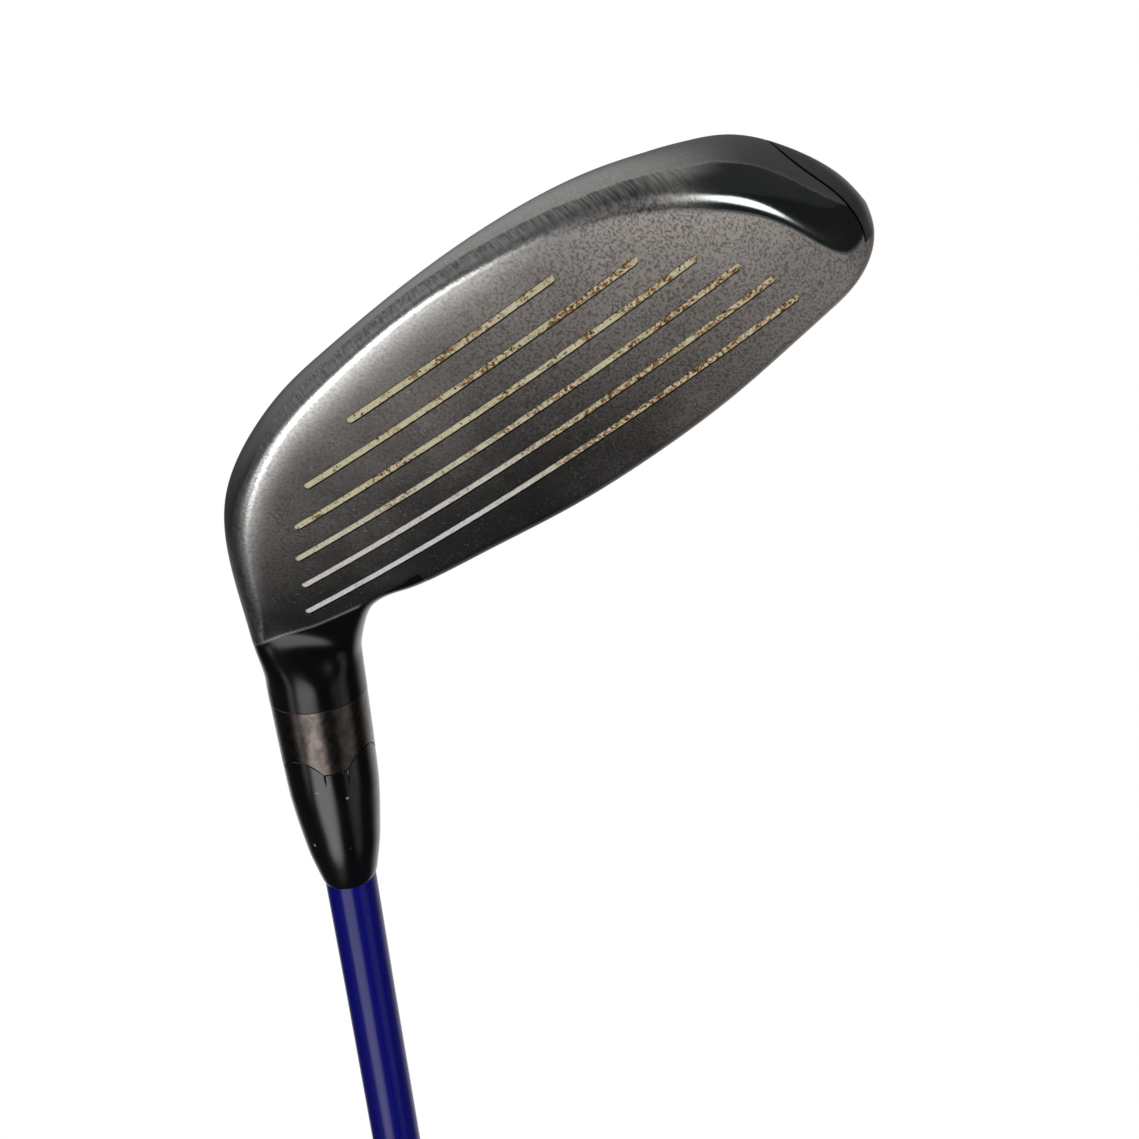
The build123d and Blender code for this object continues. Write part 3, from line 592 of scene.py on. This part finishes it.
def segment_position():
    """Which part of its outline each point is on, plus how far along it."""
    return np.concatenate([i + np.arange(n) / n for i, n in enumerate(OUTLINE_COUNTS)])


def paint_edge(p):
    """How far a point lies beyond the edge of the hosel's paint."""
    xs, zs = zip(*HOSEL_PAINT_END)
    slope = (zs[-1] - zs[0]) / (xs[-1] - xs[0])
    return p[..., 2] - (np.interp(p[..., 0], xs, zs) + slope * np.minimum(p[..., 0] - xs[0], 0))


def head_masks(p):
    """Share of each finish at every point of the skin; the wear mask also holds a painted highlight."""
    seg = np.broadcast_to(segment_position(), p.shape[:2])
    x = p[..., 0]
    edge = np.interp(x, SEAM_X, SEAM_SEGMENT)
    front = (seg >= 0.5) & (seg < 3.4)
    satin = np.where(front, smooth(seg, edge - 0.012, edge + 0.012), 0.0)
    off_face = np.where(front, smooth(seg, 0.985, 1.02), 0.0)
    toe = smooth(x, 57, 66)
    bevel = off_face * toe * (1 - satin)
    brushed = off_face * (1 - toe) * (1 - satin)
    # painted highlight: the ridge mask brightens the leading-edge roll where a light's reflection falls, over
    # real wear to bare steel; the trace mask paints the bright line along the toe's face edge
    ridge = np.exp(-((seg - 1.10) / 0.12) ** 2) * smooth(x, -24, -8) * (1 - smooth(x, 36, 58))
    trace = np.exp(-((seg - 1.0) / 0.014) ** 2) * toe * (seg > 0.9)
    wear_and_highlight = np.where(front, np.maximum(ridge, 0.7 * trace), 0.0)
    gloss = np.where((seg >= 3.4) & (seg < 5.3), 1.0, 0.0)
    beyond = paint_edge(p)
    gloss = np.where(x < 2, np.maximum(gloss, smooth(beyond, 0.0, 0.2)), gloss)
    silver = np.where((x < -5) & (seg < 1.6), np.exp(-((beyond + 0.1) / 0.16) ** 2), 0.0)
    return {"satin": satin, "bevel": bevel, "brushed": brushed, "wear_and_highlight": wear_and_highlight, "gloss": gloss,
            "silver": silver}


def paint_masks(obj, p, masks):
    """Copies each mask to obj's points from the nearest point of the skin."""
    flat = (p.reshape(-1, 3) - AXIS_FOOT) * MM
    tree = KDTree(len(flat))
    for i, point in enumerate(flat):
        tree.insert(point, i)
    tree.balance()
    nearest = np.array([tree.find(v.co)[1] for v in obj.data.vertices])
    for name, values in masks.items():
        layer = obj.data.attributes.new(name, "FLOAT", "POINT")
        layer.data.foreach_set("value", values.reshape(-1)[nearest].astype(np.float32))


def skin_solid(name, p, shift=(0, 0, 0)):
    """Closed solid inside the skin, moved by shift."""
    rows, columns = p.shape[:2]
    faces = [tuple(reversed(f)) for f in grid_faces(rows, columns)]
    faces.append(tuple(range(columns)))
    faces.append(tuple((rows - 1) * columns + k for k in reversed(range(columns))))
    return mesh_object(name, p.reshape(-1, 3) + np.array(shift), faces, None)


def face_point(x, v, depth):
    """Point under the bulged face, v up from its centre line."""
    normal = np.array((0, math.cos(LOFT), math.sin(LOFT)))
    up = np.array((0, -math.sin(LOFT), math.cos(LOFT)))
    a = x - FACE_CENTRE[0]
    sag = a * a / (2 * FACE_BULGE_R) + v * v / (2 * FACE_ROLL_R)
    return FACE_CENTRE + np.array((a, 0, 0)) + up * v - normal * (sag + depth)


def score_strips(name, width, top, bottom, material):
    """Six round-ended strips along the score lines, between two depths under the face."""
    points, faces = [], []
    half = width / 2
    for i, (x0, x1) in enumerate(GROOVE_ENDS):
        v = (i - 2.5) * GROOVE_PITCH
        arc = half * (1 - np.cos(np.linspace(0.12, math.pi / 2, 7)))
        xs = np.concatenate((x0 + arc, np.linspace(x0 + half, x1 - half, 60)[1:-1], x1 - arc[::-1]))
        start = len(points)
        for x in xs:
            inset = max(x0 + half - x, x - x1 + half, 0)
            w = math.sqrt(max(half * half - inset * inset, 0))
            points += [face_point(x, v - w, top), face_point(x, v + w, top),
                       face_point(x, v + w, bottom), face_point(x, v - w, bottom)]
        n = len(xs)
        faces += [tuple(start + k for k in f) for f in grid_faces(n, 4)]
        faces += [tuple(start + k for k in (3, 2, 1, 0)), tuple(start + 4 * (n - 1) + k for k in range(4))]
    return mesh_object(name, points, faces, material)


def toe_prism(shift):
    """Tool that holds everything on the toe's side of the panel seam."""
    seam = np.array(TOE_PANEL_SEAM) + np.array((shift, 0))
    line = spline_through(np.arange(len(seam), dtype=float), seam, np.linspace(0, len(seam) - 1, 48))
    outline = [tuple(q) for q in line] + [(90, line[-1][1]), (90, line[0][1])]
    return prism("toe_tool", outline, -2, 22, (0, 0, 0), (1, 0, 0), (0, 0, 1))


def recalc(obj):
    """Outward normals, which the cuts rely on."""
    bpy.context.view_layer.objects.active = obj
    obj.select_set(True)
    bpy.ops.object.mode_set(mode="EDIT")
    bpy.ops.mesh.select_all(action="SELECT")
    bpy.ops.mesh.normals_make_consistent(inside=False)
    bpy.ops.object.mode_set(mode="OBJECT")
    obj.select_set(False)
    return obj


def build_head():
    p = skin(OUTLINE_COUNTS, HEAD_ROWS)
    masks = head_masks(p)
    shell = recalc(skin_solid("head_shell", p))
    lowered = recalc(skin_solid("inner", p, PANEL_RECESS))
    panel = recalc(toe_prism(PANEL_GAP))
    boolean(panel, shell, "INTERSECT", keep=True)
    boolean(panel, lowered, keep=True)
    recess = recalc(toe_prism(0))
    boolean(recess, lowered)
    boolean(shell, recess)
    where = {"origin": PORT_AT, "x_dir": PORT_ACROSS, "z_dir": PORT_OUT}
    edge_at, edge_r = BOSS_PROUD - BOSS_EDGE_R, BOSS_R - BOSS_EDGE_R
    edge = [(edge_at + BOSS_EDGE_R * math.sin(a), edge_r + BOSS_EDGE_R * math.cos(a))
            for a in np.linspace(0.1, math.pi / 2, 6)]
    boss = [(-6.0, BOSS_R), (edge_at, BOSS_R), *edge]
    boolean(shell, recalc(capped("boss", boss, **where)), "UNION")
    boolean(shell, recalc(capped("port", PORT_OUTLINE, **where)))
    boolean(shell, recalc(capped("bore", BORE_OUTLINE)))
    for k in range(KEY_COUNT):
        boolean(shell, recalc(key_block("notch", k, NOTCH_BLOCK)))
    boolean(shell, recalc(score_strips("cutter", GROOVE_WIDTH, *GROOVE_CUT, None)))
    shell.data.materials.clear()
    shell.data.materials.append(MATERIALS["head"])
    paint_masks(shell, p, masks)
    crisp(shell)
    place(shell, "head", ("body_casting", "face_insert", "crown_plate"))
    panel.name = "toe_panel_skin"
    panel.data.materials.clear()
    panel.data.materials.append(MATERIALS["panel"])
    crisp(panel)
    place(panel, "head", ("toe_panel",))
    paint = recalc(score_strips("score_line_paint", PAINT_WIDTH, *PAINT_DEPTH, MATERIALS["paint"]))
    crisp(paint)
    place(paint, "head", ())


# ------------------------------------------------------------------ ring and ferrule
RING_TOP = 62.75
WAVE_AT = 64.75
WAVE_R = 4.41
WAVE_START = math.radians(20)
WAVE_GAP = 0.06
JOINT_R = 7.70                                # where the joint's small bevels start
RING_BOTTOM = 50.81
RING_OUTLINE = ((RING_BOTTOM, 7.86), (50.95, 8.0), (56.0, 7.92))
FERRULE_OUTLINE = ((69.05, 7.66), (73.25, 7.3), (77.45, 6.82), (81.65, 6.25), (84.8, 5.62), (86.9, 5.15),
                   (88.0, 4.88))
FERRULE_TOP = 88.37
FERRULE_BORE_R = 4.55
SLEEVE_POCKET = (68.25, 5.72)


def wavy(t, wave_r, radius, angle):
    """Height of the joint between ring and ferrule: level, with four round dips."""
    from_dip = (angle - WAVE_START + math.pi / 4) % (math.pi / 2) - math.pi / 4
    off = np.minimum(np.abs(radius * np.sin(from_dip)), wave_r)
    return np.minimum(t, WAVE_AT - np.sqrt(wave_r ** 2 - off ** 2))


def turned_rows(name, rows, material):
    """Closed ring-shaped solid from rows of (height, radius); a height may vary around the axis."""
    angle = 2 * math.pi * np.arange(FINE_TURNS) / FINE_TURNS
    ring = around(angle)
    made = []
    for height, radius in rows:
        height = height(radius, angle) if callable(height) else np.full(FINE_TURNS, height)
        made.append(AXIS_FOOT + height[:, None] * AXIS + radius * ring)
    made.append(made[0])
    return recalc(mesh_object(name, np.concatenate(made), grid_faces(len(made), FINE_TURNS), material))


def build_ring():
    def edge(drop):
        return lambda radius, angle: wavy(RING_TOP, WAVE_R, radius, angle) - drop
    rows = [*RING_OUTLINE, (edge(0.15), 7.84), (edge(0.0), JOINT_R), (edge(0.0), BORE_R),
            (RING_BOTTOM, BORE_R)]
    ring = turned_rows("adjuster_ring_skin", rows, MATERIALS["ring"])
    for k in range(KEY_COUNT):
        boolean(ring, recalc(key_block("key", k, KEY_BLOCK)), "UNION")
    ring.data.materials.clear()
    ring.data.materials.append(MATERIALS["ring"])
    crisp(ring, 25)
    place(ring, "ring", ("adjuster_ring",))


def build_ferrule():
    def edge(rise):
        return lambda radius, angle: wavy(RING_TOP + 0.04, WAVE_R - WAVE_GAP, radius, angle) + rise
    knots, radii = np.array(FERRULE_OUTLINE).T
    heights = np.linspace(knots[0], knots[-1], 40)
    smooth_r = spline_through(knots, radii[:, None], heights)[:, 0]
    pocket_top, pocket_r = SLEEVE_POCKET
    rows = [(edge(0.0), JOINT_R), (edge(0.12), 7.805), (66.0, 7.75), *zip(heights, smooth_r),
            (FERRULE_TOP, 4.70), (FERRULE_TOP, FERRULE_BORE_R), (pocket_top, FERRULE_BORE_R),
            (pocket_top, pocket_r), (edge(0.0), pocket_r)]
    ferrule = turned_rows("ferrule_skin", rows, MATERIALS["ferrule"])
    crisp(ferrule, 40)
    place(ferrule, "shaft_unit", ("ferrule",))


# ------------------------------------------------------------------ shaft and grip
SHAFT = {"start": 40.0, "end": 999.0, "tip_r": 4.52, "butt_r": 7.6, "wall": 1.1}
SHAFT_TAPER = (115.0, 900.0)
GRIP_TURNS = 160
TAPE_GAP = 0.3
CAP_SEAT = (998.9, 9.5)                       # start and radius of the recess for the end cap
TAPE_START = 739
GRIP_OUTLINE = ((735, 8.2), (736, 9.0), (739, 9.5), (860, 11.0), (975, 12.9), (985, 13.3), (998, 13.3),
                (1001.8, 12.6), (1003, 11.2))


def shaft_r(t):
    share = (t - SHAFT_TAPER[0]) / (SHAFT_TAPER[1] - SHAFT_TAPER[0])
    return SHAFT["tip_r"] + (SHAFT["butt_r"] - SHAFT["tip_r"]) * min(max(share, 0), 1)


def build_shaft():
    stations_t = (SHAFT["start"], *np.linspace(*SHAFT_TAPER, 24), SHAFT["end"])
    outer = [(t, shaft_r(t)) for t in stations_t]
    inner = [(t, r - SHAFT["wall"]) for t, r in outer]
    shaft = recalc(turned("shaft_tube", [*outer, *reversed(inner), outer[0]], MATERIALS["shaft"]))
    crisp(shaft)
    place(shaft, "shaft_unit", ("shaft",))


def grip_relief(t, angle):
    """Depth of the moulded pattern: crossed channels in panels, with plain bands between."""
    panel = smooth(np.abs((t - 742) % 52 - 26), 23, 21) * smooth(t, 748, 752) * smooth(t, 978, 974)
    turns = 14 * angle / (2 * math.pi)
    a = np.abs((turns + t / 5.2) % 1 - 0.5)
    b = np.abs((turns - t / 5.2) % 1 - 0.5)
    return 0.32 * panel * smooth(np.minimum(a, b), 0.10, 0.03)


def build_grip():
    """Rubber sleeve over the tape, with its moulded pattern and the recess for the end cap."""
    ts = np.concatenate(([735, 735.3, 736, 737.2, 739], np.arange(740, 998, 0.55),
                         [998, 999.5, 1000.8, 1001.8, 1002.5, 1003]))
    stations_t, radii = zip(*GRIP_OUTLINE)
    r = np.interp(ts, stations_t, radii)
    angle = 2 * math.pi * np.arange(GRIP_TURNS) / GRIP_TURNS
    deep = grip_relief(ts[:, None], angle[None, :])
    ring = around(angle)
    outer = ts[:, None, None] * AXIS + (r[:, None] - deep)[..., None] * ring
    cap_t, cap_r = CAP_SEAT
    butt_r, tape_r = shaft_r(SHAFT["end"]), shaft_r(TAPE_START)
    bore_t = np.array([ts[-1], cap_t, cap_t, SHAFT_TAPER[1], TAPE_START, TAPE_START, ts[0]])
    bore_r = np.array([cap_r, cap_r, butt_r + TAPE_GAP, shaft_r(SHAFT_TAPER[1]) + TAPE_GAP, tape_r + TAPE_GAP,
                       tape_r, tape_r])
    inner = bore_t[:, None, None] * AXIS + bore_r[:, None, None] * ring
    p = np.concatenate((outer, inner, outer[:1]))
    faces = grid_faces(len(p), GRIP_TURNS)
    grip = mesh_object("grip_sleeve", AXIS_FOOT + p.reshape(-1, 3), faces, MATERIALS["grip"])
    recalc(grip)
    crisp(grip, 50)
    place(grip, "shaft_unit", ("grip",))


build_head()
build_ring()
build_ferrule()
build_shaft()
build_grip()

NODE_MATERIALS = {
    "ferrule": "ferrule", "shaft": "shaft", "adjuster_ring": "ring", "adapter_sleeve": "sleeve",
    "sleeve_oring": "seal", "weight_washer": "seal", "weight_screw": "fastener", "weight_bush": "fastener",
    "hosel_screw": "fastener", "hosel_screw_washer": "fastener", "screw_retainer": "clip", "tip_plug": "clip",
    "grip": "grip", "grip_end_cap": "grip", "grip_tape": "tape", "rear_weight": "weight",
    "body_casting": "head", "face_insert": "head", "crown_plate": "head", "toe_panel": "panel",
}
for node, key in NODE_MATERIALS.items():
    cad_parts[node].data.materials.clear()
    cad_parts[node].data.materials.append(MATERIALS[key])


# ------------------------------------------------------------------ stage, light and camera
CAMERA_AT = np.array((62.14, 144.13, 4.33))
CAMERA_RIGHT = np.array((0.82845, -0.06169, 0.55666))
CAMERA_DOWN = np.array((-0.49687, 0.37771, 0.78132))
FOCAL_MM = 31.56
SENSOR_MM = 36
FLOOR_SIZE = 12                               # metres, as are the other floor sizes
FLOOR_HEIGHT = -0.35
GLOW_EDGE = (0.30, 0.75)
GLOW = (0.70, 0.08)                           # brightness the club sees inside and outside that edge


def white_to_camera(nodes, links, shader, output):
    """Shows plain white to the camera and the given shader to everything else."""
    path = nodes.new("ShaderNodeLightPath")
    plain = nodes.new(shader.bl_idname)
    plain.inputs["Color"].default_value = (1, 1, 1, 1)
    mix = nodes.new("ShaderNodeMixShader")
    links.new(path.outputs["Is Camera Ray"], mix.inputs[0])
    links.new(shader.outputs[0], mix.inputs[1])
    links.new(plain.outputs[0], mix.inputs[2])
    links.new(mix.outputs[0], output.inputs["Surface"])


def add_stage():
    """Plain floor that lights the club from below only near its foot."""
    bpy.ops.mesh.primitive_plane_add(size=FLOOR_SIZE, location=(0, 0, FLOOR_HEIGHT))
    floor = bpy.context.object
    floor.name = "floor"
    s = Shader("stage_white")
    glow = s.nodes.new("ShaderNodeEmission")
    s.put(glow.inputs["Color"], s.mix(s.noise(3, 2), gray(0.97), gray(1.0)))
    spot = s.xyz()
    away = s.math("SQRT", s.math("ADD", s.math("POWER", spot["X"], 2.0), s.math("POWER", spot["Y"], 2.0)))
    s.put(glow.inputs["Strength"], s.steps(away, *GLOW_EDGE, *GLOW))
    output = next(n for n in s.nodes if n.bl_idname == "ShaderNodeOutputMaterial")
    white_to_camera(s.nodes, s.links, glow, output)
    floor.data.materials.append(s.material)


def toward(azimuth, elevation):
    """Unit vector at an azimuth from +Y towards +X and a height above the horizon, in degrees."""
    a, e = math.radians(azimuth), math.radians(elevation)
    return (math.sin(a) * math.cos(e), math.cos(a) * math.cos(e), math.sin(e))


# direction, radius of the even middle, radius of the fading edge (degrees), brightness
SOFTBOXES = (
    (toward(-28, 25), 12, 24, 3.2),
    (toward(49.5, 17), 8, 14, 6.0),
    (toward(42, 62), 3, 18, 0.5),
    (toward(-52, 3), 3, 9, 1.3),
    (toward(76, 55), 4, 12, 0.6),
    (toward(-41, -26), 2, 7, 2.2),
    (toward(41, 4), 2, 8, 1.1),
    (toward(0, -90), 25, 48, 0.62),
)
ROOM = 0.035
BACKDROP = (24, 58, 0.95)                     # as a softbox, behind the club


def add_world():
    """Dim room with softboxes, in front of a white backdrop behind the club."""
    world = bpy.data.worlds.new("studio")
    world.use_nodes = True
    nodes, links = world.node_tree.nodes, world.node_tree.links
    background = nodes["Background"]
    direction = nodes.new("ShaderNodeTexCoord").outputs["Generated"]

    def patch(centre, inner, outer, strength):
        dot = nodes.new("ShaderNodeVectorMath")
        dot.operation = "DOT_PRODUCT"
        dot.inputs[1].default_value = tuple(centre)
        links.new(direction, dot.inputs[0])
        fade = nodes.new("ShaderNodeMapRange")
        fade.interpolation_type = "SMOOTHSTEP"
        limits = {"From Min": math.cos(math.radians(outer)), "From Max": math.cos(math.radians(inner)),
                  "To Min": 0.0, "To Max": strength}
        for key, number in limits.items():
            fade.inputs[key].default_value = number
        links.new(dot.outputs["Value"], fade.inputs["Value"])
        return fade.outputs["Result"]

    behind = np.cross(CAMERA_RIGHT, CAMERA_DOWN)
    total = patch(behind, *BACKDROP)
    for softbox in SOFTBOXES:
        add = nodes.new("ShaderNodeMath")
        links.new(total, add.inputs[0])
        links.new(patch(*softbox), add.inputs[1])
        total = add.outputs[0]
    room = nodes.new("ShaderNodeMath")
    room.inputs[1].default_value = ROOM
    links.new(total, room.inputs[0])
    links.new(room.outputs[0], background.inputs["Strength"])
    background.inputs["Color"].default_value = (1, 1, 1, 1)
    white_to_camera(nodes, links, background, nodes["World Output"])
    bpy.context.scene.world = world


def add_camera():
    """Camera at the place and angle that the club is drawn from."""
    data = bpy.data.cameras.new("camera")
    data.sensor_width = SENSOR_MM
    data.lens = FOCAL_MM
    data.clip_start = 0.005
    camera = bpy.data.objects.new("camera", data)
    bpy.context.scene.collection.objects.link(camera)
    forward = np.cross(CAMERA_RIGHT, CAMERA_DOWN)
    matrix = Matrix((CAMERA_RIGHT, -CAMERA_DOWN, -forward)).transposed().to_4x4()
    matrix.translation = Vector(CAMERA_AT * MM)
    camera.matrix_world = matrix
    bpy.context.scene.camera = camera


add_stage()
add_world()
add_camera()
bpy.context.scene.view_settings.view_transform = "Standard"
